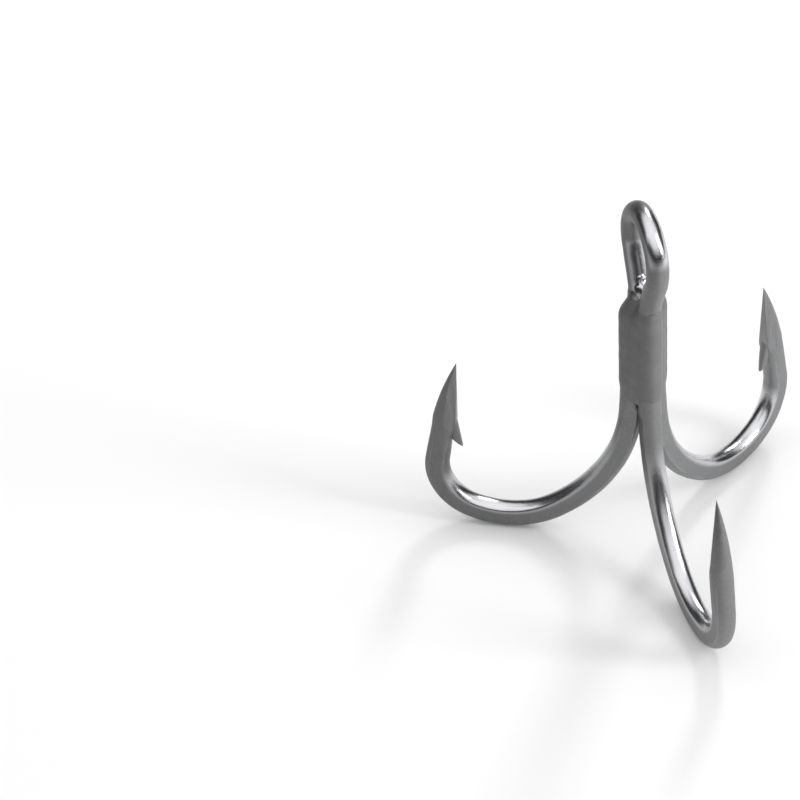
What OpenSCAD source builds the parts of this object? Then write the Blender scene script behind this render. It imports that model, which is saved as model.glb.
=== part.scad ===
// Treble fishing hook: one eyed hook and two plain hooks, brazed together along their shanks.
// The eye's plane is XZ, its round end is centred on the origin and the hooks hang down from it.
// Lengths are in millimetres and angles in degrees.

/* [Wire] */
// Diameter of the round wire, as it stays in the shanks and the eye
wire_d = 2.4; // [2.2:0.05:2.5]
// Width of the forged wire in the plane of a bend
forged_w = 2.55; // [2.4:0.01:2.56]
// Thickness of the forged wire across its two pressed flats
forged_t = 2.04; // [1.8:0.02:2.2]

/* [Eye] */
// Radius of the wire's centreline round the end of the eye
eye_r = 4.05; // [3.6:0.05:4.6]
// Angle between each limb of the eye and the shank
eye_flare = 26; // [22:1:30]
// Radius of the bend at the foot of each limb
throat_r = 3; // [2:0.25:4]
// Height at which the returning limb of the eye ends
limb_end_z = -6.5; // [-6.7:0.05:-6.4]

/* [Shanks] */
// Distance of each shank's centreline from the axis of the treble
shank_offset = 1.48; // [1.48:0.01:1.6]
// Height at which the shanks end and the bends start
bend_start_z = -20.4; // [-24:0.1:-18]
// Height of the left plain hook's cut end
left_end_z = -8.3; // [-10:0.1:-7.5]
// Height of the right plain hook's cut end
right_end_z = -6.8; // [-8:0.05:-6.75]

/* [Bends] */
// Radius of the first, widest arc of a bend
bend_r1 = 19; // [17:0.5:21]
// Angle of the first arc
bend_a1 = 55; // [50:1:60]
// Radius of the second arc, round the bottom
bend_r2 = 10; // [9:0.25:11]
// Angle of the second arc
bend_a2 = 54; // [48:1:58]
// Radius of the third arc, into the spear
bend_r3 = 5.8; // [5:0.1:7]
// Angle of the third arc
bend_a3 = 81; // [76:1:84]
// Turn of each bend about its own shank, away from a line through the axis
bend_turn = 2.5; // [-4:0.5:4]

/* [Points] */
// Length of the spear, from the end of the bend to the tip
spear_len = 13.4; // [12:0.1:16]
// Length of the tapered part of the spear
point_len = 9; // [7:0.25:10]
// Radius of the curve that the taper follows
point_curve_r = 58; // [45:1:100]
// Distance from the tip to the root of the barb
barb_root = 7.7; // [7:0.1:8.5]
// Distance from the tip of the hook back to the tip of the barb
barb_tip = 11.1; // [10:0.1:11.5]
// Height of the barb's tip above the wire
barb_rise = 1.2; // [0.6:0.05:1.4]
// Thickness of the barb
barb_t = 1.1; // [0.6:0.05:1.5]

/* [Braze] */
// Thickness of the braze over the shanks
skin = 0.12; // [0.08:0.01:0.2]
// Height at which the sleeve starts to close in on the eye
shoulder_z = -8.6; // [-9:0.1:-8]
// Height at which the sleeve ends in the throat of the eye
sleeve_top_z = -6; // [-6.2:0.05:-5.8]
// Radius of the closed end of the sleeve
sleeve_top_r = 1.9; // [1.6:0.05:2.2]
// Radius of the hollow in the top of the braze that closes the eye
meniscus_r = 1.1; // [0.9:0.05:1.4]
// Thickness of the braze that closes the eye
throat_t = 1.7; // [1.2:0.05:2]

/* [Hidden] */
$fn = 48;
eps = 0.01;
// Each stretch of wire reaches back into the one before it and is a hair thicker,
// so that the stretches join into one solid.
lap = 0.1;
lap_grow = 0.02;

// Directions of the three hooks round the axis
eyed_az = 0;
right_az = 120;
left_az = 240;

wire_r = wire_d / 2;
sleeve_r = wire_r + skin;
sleeve_reach = shank_offset + sleeve_r;

// The limb of the eye that leaves the ring at the flare angle meets the vertical line at foot_x
// at the height foot_z: each follows from the other.
ring_run = eye_r + throat_r;
function limb_len(foot_x) = (ring_run * cos(eye_flare) - throat_r - foot_x) / sin(eye_flare);
function foot_z(foot_x) = -ring_run * sin(eye_flare) - limb_len(foot_x) * cos(eye_flare);
function foot_x(foot_z) =
    ring_run * cos(eye_flare) - throat_r - (-foot_z - ring_run * sin(eye_flare)) * tan(eye_flare);

steel = "#8e9093";
braze = "#7d7e80";

// Section of the forged wire: round edges and two pressed flats
module forged_section(grow = 0) {
    intersection() {
        circle(d = forged_w + grow);
        square([forged_w + grow + eps, forged_t + grow], center = true);
    }
}

// Part of a ring in the XZ plane, from angle a0 to angle a1, of the section given
module arc(r, a0, a1) {
    rotate([90, 0, 0]) rotate([0, 0, a0])
        rotate_extrude(angle = a1 - a0) translate([r, 0]) children();
}

// The angle that the lap takes up on an arc
function lap_angle(r) = lap / r * 180 / PI;

// One arc of forged wire, leaving the origin downwards and turning towards +X
module bend_arc(r, a, grow = 0) {
    lap_back = grow > 0 ? lap_angle(r) : 0;
    translate([r, 0, 0]) arc(r, 180 - lap_back, 180 + a) forged_section(grow);
}

// Moves what follows an arc to the arc's end
module after_arc(r, a) {
    translate([r - r * cos(a), 0, -r * sin(a)]) rotate([0, -a, 0]) children();
}

// Outline of the taper, from the full width at Y = 0 to a sharp tip at Y = -point_len
module taper_outline(half_w) {
    chord = norm([half_w, point_len]);
    back = sqrt(point_curve_r ^ 2 - chord ^ 2 / 4);
    centre = [half_w / 2 - back * point_len / chord, -point_len / 2 + back * half_w / chord];
    intersection() {
        translate(centre) circle(r = point_curve_r, $fn = 360);
        translate([-centre.x, centre.y]) circle(r = point_curve_r, $fn = 360);
        translate([-half_w, -point_len]) square([2 * half_w, point_len]);
    }
}

// Tapered point: the forged wire ground down in its plane and across it
module point(grow) {
    intersection() {
        translate([0, 0, -point_len]) linear_extrude(point_len) forged_section(grow);
        rotate([90, 0, 0]) linear_extrude(2 * forged_t, center = true)
            taper_outline((forged_w + grow) / 2);
        rotate([90, 0, 90]) linear_extrude(2 * forged_w, center = true)
            taper_outline((forged_t + grow) / 2);
    }
}

// Barb: a thin sliver raised from the inner side of the spear, pointing back to the bend
module barb() {
    buried = forged_w / 4;
    foot = (barb_root + 2 * barb_tip) / 3;
    rotate([90, 0, 0]) linear_extrude(barb_t, center = true)
        polygon([
            [buried, barb_root - spear_len],
            [forged_w / 2 + barb_rise, barb_tip - spear_len],
            [buried, foot - spear_len]
        ]);
}

module spear(grow) {
    straight = spear_len - point_len;
    translate([0, 0, -straight]) {
        linear_extrude(straight + lap) forged_section(grow);
        point(grow);
    }
    barb();
}

// Everything of one hook below its shank
module bend() {
    bend_arc(bend_r1, bend_a1);
    after_arc(bend_r1, bend_a1) {
        bend_arc(bend_r2, bend_a2, lap_grow);
        after_arc(bend_r2, bend_a2) {
            bend_arc(bend_r3, bend_a3, 2 * lap_grow);
            after_arc(bend_r3, bend_a3) spear(3 * lap_grow);
        }
    }
}

module shank(end_z) {
    translate([shank_offset, 0, bend_start_z]) cylinder(d = wire_d, h = end_z - bend_start_z);
}

module hook(end_z) {
    shank(end_z);
    translate([shank_offset, 0, bend_start_z]) rotate([0, 0, bend_turn]) bend();
}

// One limb of the eye, on the +X side: the straight run and the bend at its foot
module limb(foot_x) {
    translate([foot_x + throat_r, 0, foot_z(foot_x)])
        arc(throat_r, 180 - eye_flare, 180 + lap_angle(throat_r)) circle(d = wire_d + lap_grow);
    translate([eye_r * cos(eye_flare), 0, -eye_r * sin(eye_flare)])
        rotate([0, 180 + eye_flare, 0])
            cylinder(d = wire_d + 2 * lap_grow, h = limb_len(foot_x) + lap);
}

module ring() {
    ring_lap = lap_angle(eye_r);
    arc(eye_r, -eye_flare - ring_lap, 180 + eye_flare + ring_lap)
        circle(d = wire_d + 3 * lap_grow);
    limb(shank_offset);
    mirror([1, 0, 0]) limb(foot_x(limb_end_z));
}

// The round wire of all three hooks inside the braze
module wires() {
    rotate([0, 0, eyed_az]) shank(foot_z(shank_offset));
    rotate([0, 0, right_az]) shank(right_end_z);
    rotate([0, 0, left_az]) shank(left_end_z);
    ring();
}

// Rounded triangle that just holds the three shanks and the braze over them
module sleeve_outline() {
    corners = [for (az = [eyed_az, right_az, left_az], side = [-60, 60])
        shank_offset * [cos(az), sin(az)] + sleeve_r * [cos(az + side), sin(az + side)]];
    polygon(corners);
    for (az = [eyed_az, right_az, left_az])
        rotate(az) translate([shank_offset, 0]) circle(r = sleeve_r);
}

module eyed_hook() {
    color(steel) {
        rotate([0, 0, eyed_az]) hook(foot_z(shank_offset));
        ring();
    }
}

module plain_hook_left() {
    color(steel) rotate([0, 0, left_az]) hook(left_end_z);
}

module plain_hook_right() {
    color(steel) rotate([0, 0, right_az]) hook(right_end_z);
}

module braze_sleeve() {
    color(braze) difference() {
        union() {
            translate([0, 0, bend_start_z]) linear_extrude(shoulder_z - bend_start_z)
                sleeve_outline();
            intersection() {
                translate([0, 0, shoulder_z]) linear_extrude(sleeve_top_z - shoulder_z)
                    sleeve_outline();
                translate([0, 0, shoulder_z])
                    cylinder(r1 = sleeve_reach, r2 = sleeve_top_r, h = sleeve_top_z - shoulder_z);
            }
        }
        wires();
    }
}

module eye_throat_braze() {
    left_x = foot_x(limb_end_z);
    color(braze) difference() {
        translate([-left_x, -throat_t / 2, sleeve_top_z])
            cube([left_x + shank_offset, throat_t, meniscus_r]);
        wires();
        translate([0, 0, sleeve_top_z + 1.4 * meniscus_r]) rotate([90, 0, 0])
            cylinder(r = meniscus_r, h = 2 * throat_t, center = true);
    }
}

eyed_hook();
plain_hook_left();
plain_hook_right();
braze_sleeve();
eye_throat_braze();
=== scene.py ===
"""Treble hook: three forged wire hooks, brazed together along their shanks.

The maths below is in millimetres in the row frame; meshes are made in metres. Each hook is drawn
along its own wire: a path in the hook's plane, a section for every row of the path, and cuts for
the barb. The braze is a surface round the axis, star-shaped at every height.
"""
import math

import bmesh
import bpy
import numpy as np
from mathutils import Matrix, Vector


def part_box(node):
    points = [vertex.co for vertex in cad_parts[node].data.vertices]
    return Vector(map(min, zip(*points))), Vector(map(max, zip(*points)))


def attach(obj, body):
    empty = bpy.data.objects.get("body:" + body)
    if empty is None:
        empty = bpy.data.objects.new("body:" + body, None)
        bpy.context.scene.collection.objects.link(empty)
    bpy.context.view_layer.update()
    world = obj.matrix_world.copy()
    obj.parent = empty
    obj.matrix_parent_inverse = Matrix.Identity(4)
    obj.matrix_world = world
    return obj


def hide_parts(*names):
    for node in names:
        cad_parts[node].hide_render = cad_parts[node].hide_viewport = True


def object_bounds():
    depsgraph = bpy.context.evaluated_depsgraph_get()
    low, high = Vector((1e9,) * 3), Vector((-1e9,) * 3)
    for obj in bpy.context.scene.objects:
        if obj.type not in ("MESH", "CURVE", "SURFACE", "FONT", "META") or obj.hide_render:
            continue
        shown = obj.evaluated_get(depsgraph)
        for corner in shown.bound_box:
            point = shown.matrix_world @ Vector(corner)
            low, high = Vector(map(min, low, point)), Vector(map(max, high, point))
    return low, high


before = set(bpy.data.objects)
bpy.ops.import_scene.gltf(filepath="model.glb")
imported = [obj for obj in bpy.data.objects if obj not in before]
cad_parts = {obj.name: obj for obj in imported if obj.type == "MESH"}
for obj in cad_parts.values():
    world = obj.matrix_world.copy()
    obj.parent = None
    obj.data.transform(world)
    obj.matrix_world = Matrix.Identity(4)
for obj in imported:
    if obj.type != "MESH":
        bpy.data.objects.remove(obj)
CAD_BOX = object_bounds()

MM = 0.001

# ---------------------------------------------------------------- sizes of the frame, mm


def box_mm(node):
    low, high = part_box(node)
    return np.array(low) / MM, np.array(high) / MM


SLEEVE_LOW, SLEEVE_HIGH = box_mm("braze_sleeve")
BEND_START_Z = SLEEVE_LOW[2]
SLEEVE_TOP_Z = SLEEVE_HIGH[2]
LEFT_TOP_Z = box_mm("plain_hook_left")[1][2]
RIGHT_TOP_Z = box_mm("plain_hook_right")[1][2]

# the wire and the places of the three shanks
WIRE_R = 1.2
SHANK_OFFSET = 1.48
SHANK = np.array([SHANK_OFFSET, 0.0, 0.0])
AZIMUTHS = {"eyed_hook": 0.0, "plain_hook_right": 120.0, "plain_hook_left": 240.0}

# the eye: its round end, the lean of its two straight limbs, and the curve at the foot of each
EYE_R = 4.05
EYE_FLARE = 26.0
THROAT_R = 3.0
FLARE_SIN = math.sin(math.radians(EYE_FLARE))
FLARE_COS = math.cos(math.radians(EYE_FLARE))
FLARE_TAN = math.tan(math.radians(EYE_FLARE))

# the returning limb ends at LIMB_END_Z, LIMB_END_OFFSET from the axis; the other limb is
# LIMB_SHANK long and has turned into the upright shank at FOOT_Z
LIMB_END_Z = -6.5
LIMB_RUN = EYE_R + THROAT_R
LIMB_END_DROP = -LIMB_END_Z - LIMB_RUN * FLARE_SIN
LIMB_END_OFFSET = LIMB_RUN * FLARE_COS - THROAT_R - LIMB_END_DROP * FLARE_TAN
LIMB_SHANK = (LIMB_RUN * FLARE_COS - THROAT_R - SHANK_OFFSET) / FLARE_SIN
FOOT_Z = -LIMB_RUN * FLARE_SIN - LIMB_SHANK * FLARE_COS

# a bend, as arcs of (radius, angle), its turn about the shank, and the straight spear
BEND_ARCS = ((19.0, 55.0), (10.0, 54.0), (5.8, 81.0))
BEND_TURN = 2.5
SPEAR_LEN = 13.4

# the forged section; "bend" distances are from the start of the bend, negative above it
FORGED_HALF_W = 1.275
FORGED_HALF_T = 1.02
SPEAR_HALF_T = 1.22
PRESS_BEND = (-1.6, 0.8)
PRESS_CLEARANCE = 0.6
INNER_SWELL = 0.17
SWELL_BEND = (4.0, 14.0)
SWELL_TIP = (10.2, 17.0)
SWELL_POWER = 1.5
PRESS_CORNER = 44.0

# the ground point and the barb; T is the distance from the tip of the hook
TIP_GAP = 0.04
GRIND_END_T = 9.8
SPEAR_END_T = 16.0
POINT_INNER = 1.24
POINT_INNER_OVAL = 1.25
POINT_OUTER = 1.34
POINT_OUTER_BULGE = 0.98
POINT_MIN_HALF_T = 0.008
FACET_LEAN = 25.0
FACET_RATE = 0.138
FACET_MIN = 0.003
FACET_BLEND = 0.03
FACET_CORNER = 90.0
BARB_ROOT_T = 7.7
BARB_TIP_T = 11.1
BARB_RISE = 1.2
BARB_HALF_T = 0.56
BARB_MARGIN = 0.4
NOTCH_T = 10.1
NOTCH_DEPTH = 0.15
RECESS_END_T = 12.8

# the braze: its thickness over the wires, and heights where it changes
SKIN = 0.12
SHOULDER_Z = -8.6
EYED_LIP_Z = -6.5
LEFT_SLOPE_RUN = 3.0

# the meshes: points round the wire, and the angles above which an edge is drawn sharp
AROUND = 72
SHARP_ANGLE = 28.0
BRAZE_SHARP_ANGLE = 50.0

# small unevenness of the wire and the braze: (waves per mm along, lobes, phase), and its height
WAVES = ((0.9, 1, 0.3), (1.7, 2, 1.9), (2.9, 1, 4.1), (0.53, 3, 2.6))
WOBBLE = 0.006
WOBBLE_FREE_END = 6.0

# keeps divisions away from zero
TINY = 1e-3

# ---------------------------------------------------------------- small helpers


def smoothstep(low, high, x):
    t = np.clip((np.asarray(x, float) - low) / (high - low), 0.0, 1.0)
    return t * t * (3.0 - 2.0 * t)


def mix(a, b, t):
    return a + (b - a) * t


def smooth_min(terms, power):
    """Smallest of several positive radii, with the corners between them just rounded."""
    total = 0.0
    for term in terms:
        total = total + np.power(np.maximum(term, 1e-4), -power)
    return np.power(total, -1.0 / power)


def smooth_max(a, b, width):
    blend = np.maximum(width - np.abs(a - b), 0.0) / width
    return np.maximum(a, b) + blend * blend * width * 0.25


def rotation_z(degrees):
    c = math.cos(math.radians(degrees))
    s = math.sin(math.radians(degrees))
    return np.array([[c, -s, 0.0], [s, c, 0.0], [0.0, 0.0, 1.0]])


# ---------------------------------------------------------------- paths in a hook's own plane


def straight(length, step):
    count = max(2, int(math.ceil(length / step)))
    return [(length / count, 0.0)] * count


def turn(radius, degrees, step):
    """An arc; a positive angle turns towards the inner side of the bend."""
    length = radius * math.radians(abs(degrees))
    count = max(2, int(math.ceil(length / step)))
    return [(length / count, degrees / count)] * count


def trace(start, heading, moves):
    """Follows the moves; heading 0 is down, 90 is away from the axis. Gives u, z, heading, s."""
    rows = [(start[0], start[1], heading, 0.0)]
    u, z, s = start[0], start[1], 0.0
    for length, degrees in moves:
        middle = math.radians(heading + degrees / 2)
        half_turn = math.radians(abs(degrees)) / 2
        chord = length if half_turn == 0 else length * math.sin(half_turn) / half_turn
        u += chord * math.sin(middle)
        z -= chord * math.cos(middle)
        heading += degrees
        s += length
        rows.append((u, z, heading, s))
    return np.array(rows)


def bend_moves():
    """The bend and the spear, with closer rows beside the barb and over the last of the point."""
    point_end = 1.0
    moves = []
    for radius, degrees in BEND_ARCS:
        moves += turn(radius, degrees, step=0.4)
    moves += straight(SPEAR_LEN - BARB_TIP_T - BARB_MARGIN, step=0.3)
    moves += straight(BARB_TIP_T + BARB_MARGIN - BARB_ROOT_T + BARB_MARGIN, step=0.12)
    moves += straight(BARB_ROOT_T - BARB_MARGIN - point_end, step=0.2)
    moves += straight(point_end - TIP_GAP, step=0.08)
    return moves


def eye_path():
    """From the cut end of the returning limb, round the eye, down the shank and along the bend."""
    moves = turn(THROAT_R, EYE_FLARE, step=0.25)
    moves += straight(LIMB_END_DROP / FLARE_COS, step=0.4)
    moves += turn(EYE_R, -(180.0 + 2 * EYE_FLARE), step=0.3)
    moves += straight(LIMB_SHANK, step=0.4)
    moves += turn(THROAT_R, EYE_FLARE, step=0.25)
    moves += straight(FOOT_Z - BEND_START_Z, step=0.6)
    moves += bend_moves()
    return trace((-LIMB_END_OFFSET, LIMB_END_Z), 180.0, moves)


def plain_path(end_z):
    moves = straight(end_z - BEND_START_Z, step=0.6)
    moves += bend_moves()
    return trace((SHANK_OFFSET, end_z), 0.0, moves)


# ---------------------------------------------------------------- sections


def section_radii(angles, tip_distance, bend_distance):
    """Radius of the wire in every direction; the inner side of the bend is at angle 0.

    tip_distance is along the wire to the tip of the hook, bend_distance from the start of the
    bend (negative on the shank and round the eye). Gives the radii and where the faces are ground.
    """
    t = tip_distance
    inner = np.cos(angles)
    across = np.abs(np.sin(angles))
    forged = float(smoothstep(*PRESS_BEND, bend_distance))
    spear = 1.0 - float(smoothstep(GRIND_END_T, SPEAR_END_T, t))
    half_t = mix(WIRE_R + PRESS_CLEARANCE, mix(FORGED_HALF_T, SPEAR_HALF_T, spear), forged)
    half_w = mix(WIRE_R, FORGED_HALF_W, forged)
    swell = INNER_SWELL * float(smoothstep(*SWELL_BEND, bend_distance) * smoothstep(*SWELL_TIP, t))
    round_wire = half_w + swell * np.maximum(inner, 0.0) ** SWELL_POWER
    pressed = half_t / np.maximum(across, TINY)
    wire = smooth_min((round_wire, pressed), PRESS_CORNER)
    if t >= GRIND_END_T:
        return wire, np.zeros_like(angles)
    near_tip = min(t / BARB_ROOT_T, 1.0)
    onto_wire = float(smoothstep(BARB_ROOT_T, GRIND_END_T, t))
    inner_reach = mix(POINT_INNER * near_tip, FORGED_HALF_W, onto_wire)
    point_outer = POINT_OUTER * near_tip + POINT_OUTER_BULGE * near_tip * (1.0 - near_tip)
    outer_reach = mix(point_outer, FORGED_HALF_W, onto_wire)
    thick = max(SPEAR_HALF_T * (1.0 - (1.0 - t / GRIND_END_T) ** 2), POINT_MIN_HALF_T)
    inner_oval = inner_reach * mix(POINT_INNER_OVAL, 1.0, onto_wire)
    reach = np.where(inner > 0, inner_oval, outer_reach)
    oval = 1.0 / np.sqrt((inner / reach) ** 2 + (across / thick) ** 2)
    inner_face = inner_reach / np.maximum(inner, TINY)
    lean = math.radians(FACET_LEAN)
    side_reach = FACET_RATE * t + FACET_MIN
    side_face = side_reach / np.maximum(math.sin(lean) * inner + math.cos(lean) * across, TINY)
    ground = smoothstep(0.0, FACET_BLEND, (oval - np.minimum(side_face, inner_face)) / oval)
    point = smooth_min((oval, inner_face, side_face), FACET_CORNER)
    return mix(point, wire, onto_wire), ground * (1.0 - onto_wire)


def ring_angles():
    """Angles round the wire, closer together at the corners of the pressed flats."""
    crowding = 0.055
    even = np.linspace(0.0, 2.0 * math.pi, AROUND, endpoint=False)
    return even - crowding * np.sin(4.0 * even)


# ---------------------------------------------------------------- meshes


def tube_mesh(name, centres, inner_dirs, side_dirs, radii, angles, attributes, cap_points):
    """A closed tube: one ring for each row, and a fan at each end."""
    rows, around = radii.shape
    cosines = np.cos(angles)[None, :, None]
    sines = np.sin(angles)[None, :, None]
    points = centres[:, None, :] + radii[:, :, None] * (
        cosines * inner_dirs[:, None, :] + sines * side_dirs[:, None, :])
    vertices = np.concatenate([points.reshape(-1, 3), np.array(cap_points)])
    faces = []
    for i in range(rows - 1):
        for j in range(around):
            k = (j + 1) % around
            faces.append((i * around + j, i * around + k, (i + 1) * around + k, (i + 1) * around + j))
    first, last = rows * around, rows * around + 1
    for j in range(around):
        k = (j + 1) % around
        faces.append((first, k, j))
        faces.append((last, (rows - 1) * around + j, (rows - 1) * around + k))
    mesh = bpy.data.meshes.new(name)
    mesh.from_pydata((vertices * MM).tolist(), [], faces)
    for key, values in attributes.items():
        padded = np.concatenate([values.reshape(-1), [values[0].mean(), values[-1].mean()]])
        layer = mesh.attributes.new(key, "FLOAT", "POINT")
        layer.data.foreach_set("value", padded.astype(np.float32))
    mesh.update()
    return mesh


def fix_normals(mesh):
    bm = bmesh.new()
    bm.from_mesh(mesh)
    bmesh.ops.recalc_face_normals(bm, faces=bm.faces)
    bm.to_mesh(mesh)
    bm.free()
    mesh.update()


def lofted_mesh(name, rings):
    """A closed skin over rings of points, mm: one ring for each row, and a flat face at each end."""
    rings = np.array(rings)
    rows, around = rings.shape[:2]
    faces = [tuple(range(around)), tuple(range(rows * around - 1, (rows - 1) * around - 1, -1))]
    for i in range(rows - 1):
        for j in range(around):
            k = (j + 1) % around
            faces.append((i * around + j, (i + 1) * around + j, (i + 1) * around + k, i * around + k))
    mesh = bpy.data.meshes.new(name)
    mesh.from_pydata((rings.reshape(-1, 3) * MM).tolist(), [], faces)
    fix_normals(mesh)
    return mesh


def new_object(name, mesh):
    obj = bpy.data.objects.new(name, mesh)
    bpy.context.scene.collection.objects.link(obj)
    return obj


def apply_modifiers(obj):
    depsgraph = bpy.context.evaluated_depsgraph_get()
    evaluated = obj.evaluated_get(depsgraph)
    mesh = bpy.data.meshes.new_from_object(evaluated, depsgraph=depsgraph)
    obj.modifiers.clear()
    obj.data = mesh


def boolean(obj, other, operation):
    modifier = obj.modifiers.new("cut", "BOOLEAN")
    modifier.operation = operation
    modifier.solver = "EXACT"
    modifier.object = other
    apply_modifiers(obj)
    bpy.data.objects.remove(other)


def prism(name, outline, half_thickness, to_world):
    """A straight prism in a hook's plane; outline is a list of (u, z) points."""
    count = len(outline)
    corners = []
    for side in (-half_thickness, half_thickness):
        for u, z in outline:
            corners.append((u, side, z))
    faces = [tuple(range(count)), tuple(range(2 * count - 1, count - 1, -1))]
    for i in range(count):
        k = (i + 1) % count
        faces.append((i, i + count, k + count, k))
    mesh = bpy.data.meshes.new(name)
    mesh.from_pydata([tuple(to_world(np.array(c)) * MM) for c in corners], [], faces)
    fix_normals(mesh)
    return new_object(name, mesh)


def signed_power(value, power):
    return math.copysign(abs(value) ** power, value)


def barb_object(name, to_world, at_tip):
    """The raised sliver: a tongue with a round back, wide at its root and narrow at its end."""
    rows = 26
    around = 28
    hidden = 1.5
    sink = 0.02
    taper = 0.75
    low_start, low_end = 0.05, FORGED_HALF_W + 0.1
    back_roundness, side_roundness = 0.8, 0.75
    slope = BARB_RISE / (BARB_TIP_T - BARB_ROOT_T)
    rings = []
    for i in range(rows):
        f = i / (rows - 1)
        top_t = mix(BARB_ROOT_T - hidden, BARB_TIP_T, f)
        top_u = FORGED_HALF_W + slope * (top_t - BARB_ROOT_T) - sink
        low_t = mix(BARB_ROOT_T - hidden, BARB_TIP_T + 1.0, f)
        low_u = mix(low_start, low_end, f)
        width = BARB_HALF_T * math.sqrt(max(1.0 - taper * f ** 3, 0.0))
        ring = []
        for j in range(around):
            a = 2 * math.pi * j / around
            rise = signed_power(math.cos(a), back_roundness) * 0.5 + 0.5
            side = signed_power(math.sin(a), side_roundness)
            ring.append(to_world(at_tip(mix(low_u, top_u, rise), side * width, mix(low_t, top_t, rise))))
        rings.append(ring)
    return new_object(name, lofted_mesh(name, rings))


def hook_object(name, path):
    """One hook: the swept wire, with its barb raised and the recess cut behind it."""
    azimuth = AZIMUTHS[name]
    total = path[-1, 3] + TIP_GAP
    bend_length = SPEAR_LEN + sum(r * math.radians(a) for r, a in BEND_ARCS)
    tip_distance = total - path[:, 3]
    bend_distance = bend_length - tip_distance
    headings = np.radians(path[:, 2])
    twists = BEND_TURN * smoothstep(-6.0, 0.0, bend_distance)
    spin = rotation_z(azimuth)
    centres = np.zeros((len(path), 3))
    inner_dirs = np.zeros((len(path), 3))
    side_dirs = np.zeros((len(path), 3))
    for i, (u, z, _, _) in enumerate(path):
        turned = spin @ rotation_z(twists[i])
        centres[i] = turned @ (np.array([u, 0.0, z]) - SHANK) + spin @ SHANK
        inner_dirs[i] = turned @ np.array([math.cos(headings[i]), 0.0, math.sin(headings[i])])
        side_dirs[i] = turned @ np.array([0.0, 1.0, 0.0])
    angles = ring_angles()
    sections = [section_radii(angles, t, b) for t, b in zip(tip_distance, bend_distance)]
    radii = np.array([section[0] for section in sections])
    radii += WOBBLE * wobble(path[:, 3], angles)
    cut_end_rounding = (0.80, 0.97)
    for row, factor in enumerate(cut_end_rounding):
        radii[row] *= factor
    # painted highlight: the edge mask is a thin band along the corners of the pressed flats
    corner_sine, corner_width = 0.80, 0.035
    corner = np.exp(-((np.abs(np.sin(angles)) - corner_sine) / corner_width) ** 2)
    pressed = smoothstep(-0.5, 3.0, bend_distance) * smoothstep(9.0, 11.0, tip_distance)
    attributes = {
        "inner": np.repeat(np.cos(angles)[None, :], len(path), axis=0),
        "bend": np.repeat(bend_distance[:, None], AROUND, axis=1),
        "tip": np.repeat(tip_distance[:, None], AROUND, axis=1),
        "ground": np.array([section[1] for section in sections]),
        "edge": pressed[:, None] * corner[None, :],
    }
    end_dir = np.array([math.sin(headings[-1]), 0.0, -math.cos(headings[-1])])
    tip_point = centres[-1] + (spin @ rotation_z(BEND_TURN)) @ end_dir * TIP_GAP
    mesh = tube_mesh(name + "_wire", centres, inner_dirs, side_dirs, radii, angles, attributes,
                     [centres[0], tip_point])
    fix_normals(mesh)
    obj = new_object(name + "_forged", mesh)
    cut_barb(obj, path, azimuth)
    finish_shading(obj, SHARP_ANGLE)
    return obj


def wobble(s, angles):
    """Slow unevenness of drawn and bent wire, from a few waves that don't repeat together."""
    total = np.zeros((len(s), len(angles)))
    for pitch, lobes, phase in WAVES:
        total += np.sin(pitch * s[:, None] + phase) * np.cos(lobes * angles[None, :] + 2 * phase)
    return total * smoothstep(0.0, WOBBLE_FREE_END, s[-1] - s)[:, None]


def cut_barb(obj, path, azimuth):
    """Raises the barb on the inner side of the spear and cuts the shallow recess behind it."""
    heading = math.radians(path[-1, 2])
    forward = np.array([math.sin(heading), -math.cos(heading)])
    inward = np.array([math.cos(heading), math.sin(heading)])
    tip = np.array([path[-1, 0], path[-1, 1]]) + TIP_GAP * forward
    spin = rotation_z(azimuth)
    turned = spin @ rotation_z(BEND_TURN)

    def to_world(p):
        return turned @ (p - SHANK) + spin @ SHANK

    def at_tip(u, v, t):
        flat = tip - t * forward + u * inward
        return np.array([flat[0], v, flat[1]])

    def at_tip_flat(u, t):
        p = at_tip(u, 0.0, t)
        return (p[0], p[2])

    boolean(obj, barb_object("barb", to_world, at_tip), "UNION")
    overshoot = 1.6
    belly = (0.5, 0.42)
    clear_u, clear_t = FORGED_HALF_W + 0.12, RECESS_END_T + 0.6
    notch_u = FORGED_HALF_W - NOTCH_DEPTH
    beyond_u = mix(notch_u, FORGED_HALF_W + BARB_RISE, overshoot)
    beyond_t = mix(NOTCH_T, BARB_TIP_T, overshoot)
    outline = [
        at_tip_flat(notch_u, NOTCH_T),
        at_tip_flat(beyond_u, beyond_t),
        at_tip_flat(beyond_u, clear_t),
        at_tip_flat(clear_u, clear_t),
        at_tip_flat(mix(notch_u, FORGED_HALF_W, belly[0]), mix(NOTCH_T, RECESS_END_T, belly[1])),
    ]
    boolean(obj, prism("recess", outline, 2.0, to_world), "DIFFERENCE")


def finish_shading(obj, angle):
    mesh = obj.data
    mesh.shade_smooth()
    mesh.set_sharp_from_angle(angle=math.radians(angle))


# ---------------------------------------------------------------- braze


# from one z to another: the coat's thickness and the fill come in, the neck closes, the coat on the
# eyed shank fades, and the returning limb's coat comes in and fades
COAT_Z = (BEND_START_Z - 0.6, BEND_START_Z + 3.4)
FILL_Z = (BEND_START_Z - 0.2, BEND_START_Z + 1.5)
NECK_Z = (SHOULDER_Z - 0.2, SLEEVE_TOP_Z + 0.5)
EYED_FADE_Z = (EYED_LIP_Z - 0.9, EYED_LIP_Z + 0.8)
LIMB_IN_Z = (-9.2, -6.9)
LIMB_FADE_Z = (-6.6, -5.5)

# radii of the braze: below a wire's surface where it ends, at the neck, and in the core
COAT_ENDED = -0.30
COAT_FADED = -0.12
NECK_R = 0.92
CORE_R = 0.75

# the rounded end over the right shank, and the long slope over the left one
RIGHT_CLOSING_START = 1.1
RIGHT_CLOSING_RUN = 1.65
LEFT_SLOPE_END_OFFSET = 0.40
LEFT_SLOPE_END_R = 0.80


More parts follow.
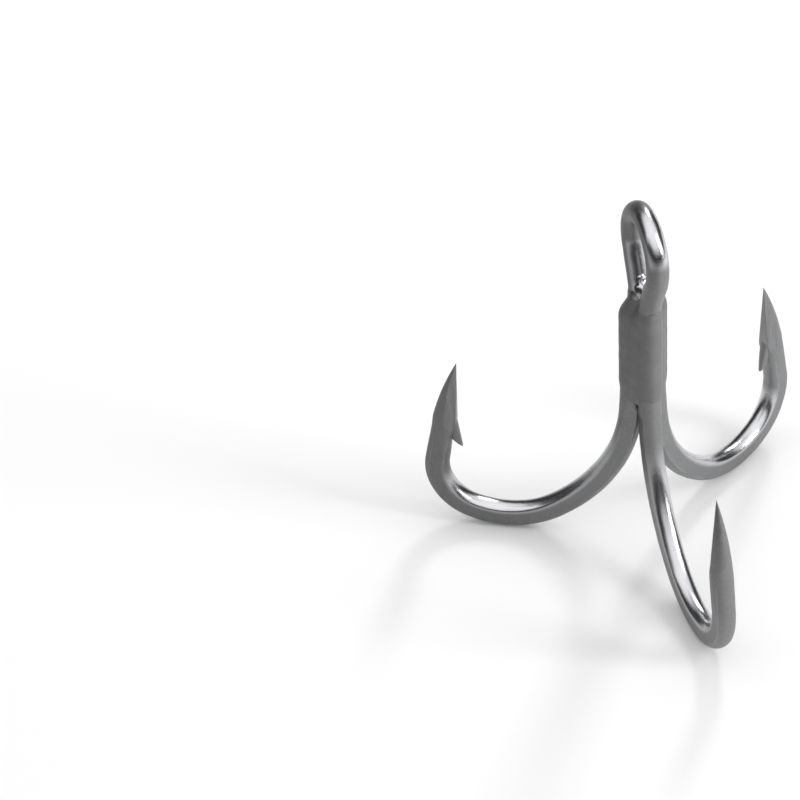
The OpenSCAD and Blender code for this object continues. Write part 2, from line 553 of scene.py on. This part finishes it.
def nearest_offset(theta, azimuth):
    return (theta - azimuth + math.pi) % (2.0 * math.pi) - math.pi


def circle_reach(delta, centre, radius):
    """How far out a circle reaches in a direction delta off its own; nothing past its edge."""
    side = centre * np.sin(delta)
    inside = radius * radius - side * side
    reach = centre * np.cos(delta) + np.sqrt(np.maximum(inside, 0.0))
    return np.where((inside > 0) & (np.cos(delta) > 0), reach, 0.0)


def limb_offset(z, foot_z, foot_offset):
    """Distance of a limb's middle from the axis: upright under its foot, curved out, then straight."""
    rise = max(z - foot_z, 0.0)
    curved = THROAT_R * FLARE_SIN
    if rise < curved:
        return foot_offset + THROAT_R - math.sqrt(THROAT_R ** 2 - rise ** 2)
    return foot_offset + THROAT_R * (1.0 - FLARE_COS) + (rise - curved) * FLARE_TAN


def eyed_reach(theta, z, coat):
    """The coat on the eyed shank; it ends higher on one side of the wire."""
    delta = nearest_offset(theta, math.radians(AZIMUTHS["eyed_hook"]))
    far_side = smoothstep(0.2, 0.9, delta)
    fading = smoothstep(*EYED_FADE_Z, z - 0.35 * far_side)
    eyed_coat = np.minimum(coat, mix(SKIN + 0.05 * far_side, COAT_FADED, fading))
    return circle_reach(delta, limb_offset(z, FOOT_Z, SHANK_OFFSET), WIRE_R + eyed_coat)


def right_reach(theta, z, coat):
    """The coat on the right shank, closed by a rounded shoulder over the shank's end."""
    closing = min(max((z - RIGHT_TOP_Z + RIGHT_CLOSING_START) / RIGHT_CLOSING_RUN, 0.0), 1.0)
    delta = nearest_offset(theta, math.radians(AZIMUTHS["plain_hook_right"]))
    return circle_reach(delta, SHANK_OFFSET, (WIRE_R + coat + 0.02) * math.sqrt(1.0 - closing ** 2))


def left_reach(theta, z, coat):
    """The coat on the left shank, and the long slope above the shank's end."""
    slope = min(max((z - LEFT_TOP_Z - 0.1) / LEFT_SLOPE_RUN, 0.0), 1.0)
    delta = nearest_offset(theta, math.radians(AZIMUTHS["plain_hook_left"]))
    return circle_reach(delta, mix(SHANK_OFFSET, LEFT_SLOPE_END_OFFSET, slope),
                        mix(WIRE_R + coat, LEFT_SLOPE_END_R, slope))


def returning_reach(theta, z):
    """The braze round the end of the eye's returning limb."""
    delta = nearest_offset(theta, math.pi)
    limb_in = float(smoothstep(*LIMB_IN_Z, z))
    coat = mix(0.10, COAT_FADED, float(smoothstep(*LIMB_FADE_Z, z)))
    offset = mix(0.5, limb_offset(z, LIMB_END_Z, LIMB_END_OFFSET), limb_in)
    return circle_reach(delta, offset, mix(0.9, WIRE_R + coat, limb_in))


def sleeve_radius(theta, z):
    """Outer surface of the braze at one height: a coat over each wire, and the fill between them."""
    coat = mix(COAT_ENDED, SKIN, float(smoothstep(*COAT_Z, z)))
    fill = float(smoothstep(*FILL_Z, z))
    reach = smooth_max(eyed_reach(theta, z, coat), right_reach(theta, z, coat), 0.1)
    reach = smooth_max(reach, left_reach(theta, z, coat), 0.1)
    reach = smooth_max(reach, returning_reach(theta, z), 0.4)
    apothem = SHANK_OFFSET * 0.5 + WIRE_R + SKIN
    flat = np.full_like(theta, 10.0)
    for degrees in (60.0, 180.0, 300.0):
        delta = nearest_offset(theta, math.radians(degrees))
        flat = np.minimum(flat, mix(CORE_R, apothem, fill) / np.maximum(np.cos(delta), 0.3))
    neck = mix(apothem, NECK_R, float(smoothstep(*NECK_Z, z)))
    return smooth_max(reach, np.minimum(flat, neck), mix(0.5, 0.12, fill))


def sleeve_object():
    """The braze round the three shanks, from just below the top of the bends to the neck."""
    around = 180
    rows = 210
    low_z, high_z = BEND_START_Z - 0.5, SLEEVE_TOP_Z + 0.75
    theta = np.linspace(0.0, 2.0 * math.pi, around, endpoint=False)
    heights = np.linspace(low_z, high_z, rows)
    grid = np.array([sleeve_radius(theta, z) for z in heights])
    grid = soften(grid, heights)
    grid *= mix(1.0, 0.3, smoothstep(SLEEVE_TOP_Z - 0.1, high_z, heights))[:, None]
    lumps = wobble(heights * 1.3, theta)
    grid += WOBBLE * lumps * smoothstep(BEND_START_Z, BEND_START_Z + 1.5, heights)[:, None]
    grid = add_lip_mark(grid, theta, heights)
    centres = np.zeros((rows, 3))
    centres[:, 2] = heights
    x_axis = np.tile(np.array([1.0, 0.0, 0.0]), (rows, 1))
    y_axis = np.tile(np.array([0.0, 1.0, 0.0]), (rows, 1))
    caps = [(0.0, 0.0, heights[0]), (0.0, 0.0, heights[-1])]
    mesh = tube_mesh("braze_sleeve_surface", centres, x_axis, y_axis, grid, theta, {}, caps)
    fix_normals(mesh)
    obj = new_object("braze_sleeve_filled", mesh)
    finish_shading(obj, BRAZE_SHARP_ANGLE)
    return obj


def soften(grid, heights):
    """Evens out the braze as it flowed: a lot round its top, a little less along the shanks."""
    passes_along, passes_round = 40, 14
    smooth = grid.copy()
    for _ in range(passes_along):
        smooth[1:-1] = 0.25 * smooth[:-2] + 0.5 * smooth[1:-1] + 0.25 * smooth[2:]
    for _ in range(passes_round):
        smooth = 0.25 * np.roll(smooth, 1, axis=1) + 0.5 * smooth + 0.25 * np.roll(smooth, -1, axis=1)
    amount = mix(0.75, 1.0, smoothstep(SHOULDER_Z - 1.6, SHOULDER_Z + 0.2, heights))
    return mix(grid, smooth, amount[:, None])


def add_lip_mark(grid, theta, heights):
    """The small crescent lip where the braze stopped on the eyed shank's outer face."""
    mark_theta = math.radians(5.0)
    mark_radius = 2.7
    bow_rate = 0.55 * 0.6
    lip_height, lip_width, lip_reach = 0.15, 0.13, 0.62
    hollow_depth, hollow_width, hollow_reach, hollow_offset = 0.09, 0.16, 0.5, 0.24
    across = nearest_offset(theta, mark_theta)[None, :] * mark_radius
    bow = heights[:, None] - EYED_LIP_Z + bow_rate * across ** 2 - 0.1
    lip = np.exp(-(bow / lip_width) ** 2) * np.exp(-(across / lip_reach) ** 4)
    hollow = (np.exp(-((bow - hollow_offset) / hollow_width) ** 2)
              * np.exp(-(across / hollow_reach) ** 4))
    return grid + lip_height * lip - hollow_depth * hollow


def throat_line():
    """Down the inner side of the returning limb, round the bottom of the eye, up the other limb."""
    start_u, start_z = -1.24, -4.02
    moves = straight(0.95, step=0.08) + turn(0.78, 128.0, step=0.06) + straight(0.25, step=0.08)
    return trace((start_u, start_z), EYE_FLARE, moves)


def throat_ring(u, z, heading, s, length, angles):
    """A section of the deposit at s along its line: lumpy outside, sunk in the wires underneath."""
    ends = float(smoothstep(0.0, 0.35, s) * smoothstep(0.0, 0.35, length - s))
    middle = float(smoothstep(0.5, 1.5, s) * smoothstep(0.3, 0.9, length - s))
    half_y = mix(0.50, 0.80, ends) + 0.15 * middle
    lump = 0.04 * math.sin(5.2 * s + 0.6)
    depth = mix(0.02, 0.13, ends) + 0.16 * middle
    y = half_y * np.sign(np.cos(angles)) * np.abs(np.cos(angles)) ** 0.85
    crown = 1.0 - np.abs(y / half_y) ** 2.2
    fall = WIRE_R - np.sqrt(WIRE_R ** 2 - y ** 2)
    over = (depth + lump * np.sin(4.0 * y + 1.0)) * crown - 0.03
    under = np.full_like(y, -0.40)
    below = mix(over, under, np.minimum(-3.0 * np.sin(angles), 1.0))
    out = np.where(np.sin(angles) >= 0.0, over, below)
    inward = np.array([math.cos(math.radians(heading)), 0.0, math.sin(math.radians(heading))])
    line = np.array([u, 0.0, z])
    return line + (out - fall)[:, None] * inward + y[:, None] * np.array([0.0, 1.0, 0.0])


def throat_object():
    """The small shiny deposit that closes the eye, drawn up thinner over the wires beside it."""
    around = 48
    path = throat_line()
    angles = np.linspace(0.0, 2.0 * math.pi, around, endpoint=False)
    rings = [throat_ring(*row, path[-1, 3], angles) for row in path]
    obj = new_object("eye_throat_deposit", lofted_mesh("throat_surface", rings))
    finish_shading(obj, BRAZE_SHARP_ANGLE)
    return obj


# ---------------------------------------------------------------- materials


STEEL_TONES = ((0.25, (0.20, 0.201, 0.204)), (0.5, (0.235, 0.237, 0.24)),
               (0.78, (0.265, 0.267, 0.27)))
SPECKLE_TONE = (0.36, 0.362, 0.366)
FACET_TONES = ((0.3, (0.20, 0.201, 0.204)), (0.7, (0.32, 0.322, 0.326)))
# the lighter base colour of the painted highlight along the corners of the pressed flats
EDGE_HIGHLIGHT_TONE = (0.50, 0.50, 0.51)
POLISHED_TONE = (0.62, 0.62, 0.635)
BRAZE_TONES = ((0.195, 0.196, 0.198), (0.23, 0.231, 0.233), (0.30, 0.301, 0.303))
BRAZE_ROUGHNESS = (0.42, 0.56)
BRAZE_GRAIN = 0.00003
SHINY_TONES = ((0.50, 0.50, 0.52), (0.60, 0.60, 0.62), (0.72, 0.72, 0.74))
SHINY_ROUGHNESS = (0.12, 0.24)
SHINY_GRAIN = 0.00001
FLOOR_TONES = ((0.3, (0.86, 0.86, 0.86)), (0.7, (0.89, 0.89, 0.89)))
# painted shade: the floor's colours for reflections only, from -Y to +Y, and the Y in metres where they
# change
FLOOR_REFLECTED = ((0.44, 0.44, 0.44), (0.88, 0.88, 0.88))
FLOOR_REFLECTED_Y = (-0.032, 0.012)

# where the wire is polished: ranges of the cosine from the inner side, of the distance from the
# start of the bend, and of the distance from the tip
BEND_POLISH = ((0.45, 0.80), (3.0, 9.0), (14.4, 16.8))
CROWN_POLISH = ((0.30, 0.72), (-21.5, -22.7), (-28.6, -26.6))
LIMB_POLISH = ((-0.35, -0.75), (-34.3, -35.5))


class Nodes:
    """Short calls to build a material's node tree."""

    def __init__(self, name):
        self.material = bpy.data.materials.new(name)
        self.material.use_nodes = True
        self.tree = self.material.node_tree
        self.shader = self.tree.nodes["Principled BSDF"]

    def add(self, kind, **values):
        node = self.tree.nodes.new(kind)
        for key, value in values.items():
            setattr(node, key, value)
        return node

    def link(self, output, socket):
        self.tree.links.new(output, socket)

    def place(self):
        return self.add("ShaderNodeTexCoord").outputs["Object"]

    def stretched(self, vector):
        """Coordinates drawn out along Z, so that a noise makes upright strokes."""
        node = self.add("ShaderNodeMapping")
        node.inputs["Scale"].default_value = (1.0, 1.0, 0.08)
        self.link(vector, node.inputs["Vector"])
        return node.outputs["Vector"]

    def attribute(self, name):
        return self.add("ShaderNodeAttribute", attribute_name=name).outputs["Fac"]

    def noise(self, vector, scale, detail=4.0, roughness=0.6, distortion=0.0):
        node = self.add("ShaderNodeTexNoise", noise_dimensions="3D")
        node.inputs["Scale"].default_value = scale
        node.inputs["Detail"].default_value = detail
        node.inputs["Roughness"].default_value = roughness
        node.inputs["Distortion"].default_value = distortion
        self.link(vector, node.inputs["Vector"])
        return node.outputs["Fac"]

    def math(self, operation, a, b):
        node = self.add("ShaderNodeMath", operation=operation)
        for index, value in enumerate((a, b)):
            if isinstance(value, (int, float)):
                node.inputs[index].default_value = value
            else:
                self.link(value, node.inputs[index])
        return node.outputs[0]

    def remap(self, value, low, high, out_low=0.0, out_high=1.0):
        node = self.add("ShaderNodeMapRange", interpolation_type="SMOOTHSTEP")
        self.link(value, node.inputs["Value"])
        node.inputs["From Min"].default_value = low
        node.inputs["From Max"].default_value = high
        node.inputs["To Min"].default_value = out_low
        node.inputs["To Max"].default_value = out_high
        return node.outputs["Result"]

    def ramp(self, value, stops):
        node = self.add("ShaderNodeValToRGB")
        elements = node.color_ramp.elements
        while len(elements) < len(stops):
            elements.new(0.5)
        for element, (position, colour) in zip(elements, stops):
            element.position = position
            element.color = (*colour, 1.0)
        self.link(value, node.inputs["Fac"])
        return node.outputs["Color"]

    def mix_colour(self, factor, a, b):
        node = self.add("ShaderNodeMix", data_type="RGBA")
        self.link(factor, node.inputs["Factor"])
        for name, value in (("A", a), ("B", b)):
            socket = [s for s in node.inputs if s.name == name and s.type == "RGBA"][0]
            if isinstance(value, tuple):
                socket.default_value = (*value, 1.0)
            else:
                self.link(value, socket)
        return [s for s in node.outputs if s.type == "RGBA"][0]

    def bump(self, height, strength, distance, normal=None):
        node = self.add("ShaderNodeBump")
        node.inputs["Strength"].default_value = strength
        node.inputs["Distance"].default_value = distance
        self.link(height, node.inputs["Height"])
        if normal is not None:
            self.link(normal, node.inputs["Normal"])
        return node.outputs["Normal"]


def steel_material():
    """Plated wire, satin all over but for three polished areas.

    They are the inner round of the bends, the outer crown of the eye, and the side of the
    returning limb that faces the eye's hole. The points have ground strokes, and the corners
    of the pressed flats get a painted highlight, a lighter base colour.
    """
    n = Nodes("plated_steel")
    place = n.place()
    bend = n.attribute("bend")
    inner = n.attribute("inner")
    in_bend = n.math("MULTIPLY", n.remap(bend, *BEND_POLISH[1]),
                     n.remap(n.attribute("tip"), *BEND_POLISH[2]))
    bend_polish = n.math("MULTIPLY", n.remap(inner, *BEND_POLISH[0]), in_bend)
    on_crown = n.math("MULTIPLY", n.remap(bend, *CROWN_POLISH[1]), n.remap(bend, *CROWN_POLISH[2]))
    crown = n.math("MULTIPLY", n.remap(inner, *CROWN_POLISH[0]), on_crown)
    limb = n.math("MULTIPLY", n.remap(inner, *LIMB_POLISH[0]), n.remap(bend, *LIMB_POLISH[1]))
    polish = n.math("MAXIMUM", bend_polish, n.math("MAXIMUM", crown, limb))
    patches = n.noise(place, 420.0, 5.0, 0.65, 0.4)
    polish = n.math("MULTIPLY", polish, n.remap(patches, 0.20, 0.45, 0.8, 1.0))
    grain = n.noise(place, 9000.0, 3.0, 0.7)
    fine = n.noise(place, 26000.0, 2.0, 0.6)
    tone = n.ramp(patches, STEEL_TONES)
    speckle = n.math("MULTIPLY", n.remap(grain, 0.35, 0.65), 0.6)
    tone = n.mix_colour(speckle, tone, SPECKLE_TONE)
    ground = n.attribute("ground")
    strokes = n.noise(n.stretched(place), 2600.0, 3.0, 0.6)
    facet_tone = n.ramp(strokes, FACET_TONES)
    tone = n.mix_colour(n.math("MULTIPLY", ground, 0.7), tone, facet_tone)
    # painted highlight: a lighter base colour along the corners of the pressed flats, broken up by the
    # patches
    edge = n.math("MULTIPLY", n.attribute("edge"), n.remap(patches, 0.35, 0.60, 0.15, 1.0))
    tone = n.mix_colour(n.math("MULTIPLY", edge, 0.55), tone, EDGE_HIGHLIGHT_TONE)
    n.link(n.mix_colour(polish, tone, POLISHED_TONE), n.shader.inputs["Base Color"])
    satin = n.remap(patches, 0.2, 0.8, 0.38, 0.50)
    satin = n.math("SUBTRACT", satin, n.math("MULTIPLY", ground, 0.10))
    rough = n.math("ADD", n.math("MULTIPLY", satin, n.math("SUBTRACT", 1.0, polish)),
                   n.math("MULTIPLY", n.remap(grain, 0.3, 0.7, 0.15, 0.24), polish))
    n.link(rough, n.shader.inputs["Roughness"])
    n.shader.inputs["Metallic"].default_value = 1.0
    coarse = n.bump(patches, 0.22, 0.00005)
    coarse = n.bump(n.math("MULTIPLY", strokes, ground), 0.25, 0.00002, coarse)
    n.link(n.bump(fine, 0.40, 0.000012, n.bump(grain, 0.50, 0.00002, coarse)),
           n.shader.inputs["Normal"])
    return n.material


def braze_material(name, tones, roughness, grain_depth):
    """Brazing metal under plating: cloudy, finely grained and a little pitted."""
    n = Nodes(name)
    place = n.place()
    patches = n.noise(place, 330.0, 5.0, 0.6, 0.6)
    grain = n.noise(place, 7000.0, 4.0, 0.75)
    pits = n.noise(place, 2300.0, 2.0, 0.5)
    tone = n.ramp(patches, [(0.25, tones[0]), (0.52, tones[1]), (0.8, tones[2])])
    tone = n.mix_colour(n.math("MULTIPLY", n.remap(grain, 0.35, 0.65), 0.6), tone, tones[2])
    n.link(tone, n.shader.inputs["Base Color"])
    n.link(n.remap(grain, 0.25, 0.75, *roughness), n.shader.inputs["Roughness"])
    n.shader.inputs["Metallic"].default_value = 1.0
    under = n.bump(patches, 0.3, 0.00008)
    under = n.bump(pits, 0.25, 0.00004, under)
    n.link(n.bump(grain, 0.5, grain_depth, under), n.shader.inputs["Normal"])
    return n.material


def floor_material():
    """A pale floor. Its reflections get painted shade: darker, the more so towards -Y."""
    n = Nodes("pale_floor")
    place = n.place()
    shade = n.noise(place, 6.0, 3.0, 0.5)
    pale = n.ramp(shade, FLOOR_TONES)
    # painted shade: glossy rays see the floor darker than the camera does
    reflected = n.add("ShaderNodeLightPath").outputs["Is Glossy Ray"]
    split = n.add("ShaderNodeSeparateXYZ")
    n.link(place, split.inputs[0])
    painted_reflection_shade = n.mix_colour(n.remap(split.outputs["Y"], *FLOOR_REFLECTED_Y), *FLOOR_REFLECTED)
    n.link(n.mix_colour(reflected, pale, painted_reflection_shade), n.shader.inputs["Base Color"])
    n.shader.inputs["Roughness"].default_value = 0.8
    return n.material


# ---------------------------------------------------------------- assembly


def adopt(obj, node, material):
    obj.data.materials.clear()
    obj.data.materials.append(material)
    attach(obj, "root")
    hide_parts(node)


def build_part():
    steel = steel_material()
    braze = braze_material("braze", BRAZE_TONES, BRAZE_ROUGHNESS, BRAZE_GRAIN)
    shiny = braze_material("bright_braze", SHINY_TONES, SHINY_ROUGHNESS, SHINY_GRAIN)
    adopt(hook_object("eyed_hook", eye_path()), "eyed_hook", steel)
    for name, top_z in (("plain_hook_right", RIGHT_TOP_Z), ("plain_hook_left", LEFT_TOP_Z)):
        adopt(hook_object(name, plain_path(top_z)), name, steel)
    adopt(sleeve_object(), "braze_sleeve", braze)
    adopt(throat_object(), "eye_throat_braze", shiny)


# ---------------------------------------------------------------- stage, lights and camera


# lights: name, place and size in metres, power in watts
LIGHTS = (
    ("back_softbox", (-0.29, 0.20, 0.27), (0.07, 0.12), 0.45),
    ("left_softbox", (0.05, -0.50, 0.32), (0.12, 0.3), 0.10),
    ("right_softbox", (0.30, 0.45, 0.30), (0.16, 0.4), 1.55),
)

# the world for reflections: its brightness against the dot product of a direction with SKY_UP
SKY_UP = (0.19, 0.0, 1.0)
SKY_STOPS = ((0.0, 0.05), (0.55, 0.03), (0.70, 1.05), (1.0, 1.35))
SKY_BLUE = 1.02
SKY_DIFFUSE = 0.82
SKY_SEEN = 1.0

# the camera: degrees, metres from the origin, millimetres of lens and sensor, and what it aims at
CAMERA_AZIMUTH = -18.77
CAMERA_ELEVATION = 38.615
CAMERA_DISTANCE = 0.577
CAMERA_ROLL = -2.206
CAMERA_LENS = 253.0
CAMERA_SENSOR = 36.0
CAMERA_CLIP = 0.01
AIM_RIGHT = -0.02517
AIM_UP = -0.01529

FLOOR_HALF = 1.0
FLOOR_GAP = 0.00005


def floor_object(z):
    mesh = bpy.data.meshes.new("floor")
    half = FLOOR_HALF
    mesh.from_pydata([(-half, -half, z), (half, -half, z), (half, half, z), (-half, half, z)], [],
                     [(0, 1, 2, 3)])
    floor = new_object("floor", mesh)
    floor.data.materials.append(floor_material())


def aim(obj, target):
    direction = Vector(target) - obj.location
    obj.rotation_euler = direction.to_track_quat("-Z", "Y").to_euler()


def area_light(name, place, target, size, power):
    data = bpy.data.lights.new(name, "AREA")
    data.shape = "RECTANGLE"
    data.size, data.size_y = size
    data.energy = power
    light = bpy.data.objects.new(name, data)
    bpy.context.scene.collection.objects.link(light)
    light.location = place
    aim(light, target)


def level_for_rays(tree, rays, kind, otherwise, level):
    """One grey level for one kind of ray; gives the mixed colour."""
    node = tree.nodes.new("ShaderNodeMix")
    node.data_type = "RGBA"
    colours = [socket for socket in node.inputs if socket.type == "RGBA"]
    tree.links.new(rays.outputs[kind], node.inputs["Factor"])
    tree.links.new(otherwise, colours[0])
    colours[1].default_value = (level, level, level, 1.0)
    return [socket for socket in node.outputs if socket.type == "RGBA"][0]


def studio_world():
    """White where the camera looks; for reflections, a bright ceiling, lower in front, over dark."""
    world = bpy.data.worlds.new("studio")
    world.use_nodes = True
    tree = world.node_tree
    place = tree.nodes.new("ShaderNodeTexCoord")
    height = tree.nodes.new("ShaderNodeVectorMath")
    height.operation = "DOT_PRODUCT"
    height.inputs[1].default_value = SKY_UP
    tree.links.new(place.outputs["Generated"], height.inputs[0])
    ramp = tree.nodes.new("ShaderNodeValToRGB")
    elements = ramp.color_ramp.elements
    while len(elements) < len(SKY_STOPS):
        elements.new(0.5)
    for element, (position, level) in zip(elements, SKY_STOPS):
        element.position = position
        element.color = (level, level, level * SKY_BLUE, 1.0)
    tree.links.new(height.outputs["Value"], ramp.inputs["Fac"])
    rays = tree.nodes.new("ShaderNodeLightPath")
    soft = level_for_rays(tree, rays, "Is Diffuse Ray", ramp.outputs["Color"], SKY_DIFFUSE)
    seen = level_for_rays(tree, rays, "Is Camera Ray", soft, SKY_SEEN)
    tree.links.new(seen, tree.nodes["Background"].inputs["Color"])
    bpy.context.scene.world = world


def add_lights(centre):
    for name, place, size, power in LIGHTS:
        area_light(name, place, centre, size, power)
    studio_world()
    bpy.context.scene.view_settings.view_transform = "Standard"


def add_camera():
    azimuth = math.radians(CAMERA_AZIMUTH)
    elevation = math.radians(CAMERA_ELEVATION)
    back = Vector((math.cos(elevation) * math.cos(azimuth),
                   math.cos(elevation) * math.sin(azimuth), math.sin(elevation)))
    right = Vector((-math.sin(azimuth), math.cos(azimuth), 0.0))
    up = back.cross(right)
    data = bpy.data.cameras.new("camera")
    data.lens = CAMERA_LENS
    data.sensor_width = CAMERA_SENSOR
    data.clip_start = CAMERA_CLIP
    camera = bpy.data.objects.new("camera", data)
    bpy.context.scene.collection.objects.link(camera)
    camera.location = CAMERA_DISTANCE * back
    aim(camera, AIM_RIGHT * right + AIM_UP * up)
    camera.rotation_euler.rotate_axis("Z", math.radians(CAMERA_ROLL))
    bpy.context.scene.camera = camera


build_part()
low, high = CAD_BOX
floor_object(low[2] - FLOOR_GAP)
add_lights([(a + b) / 2 for a, b in zip(low, high)])
add_camera()
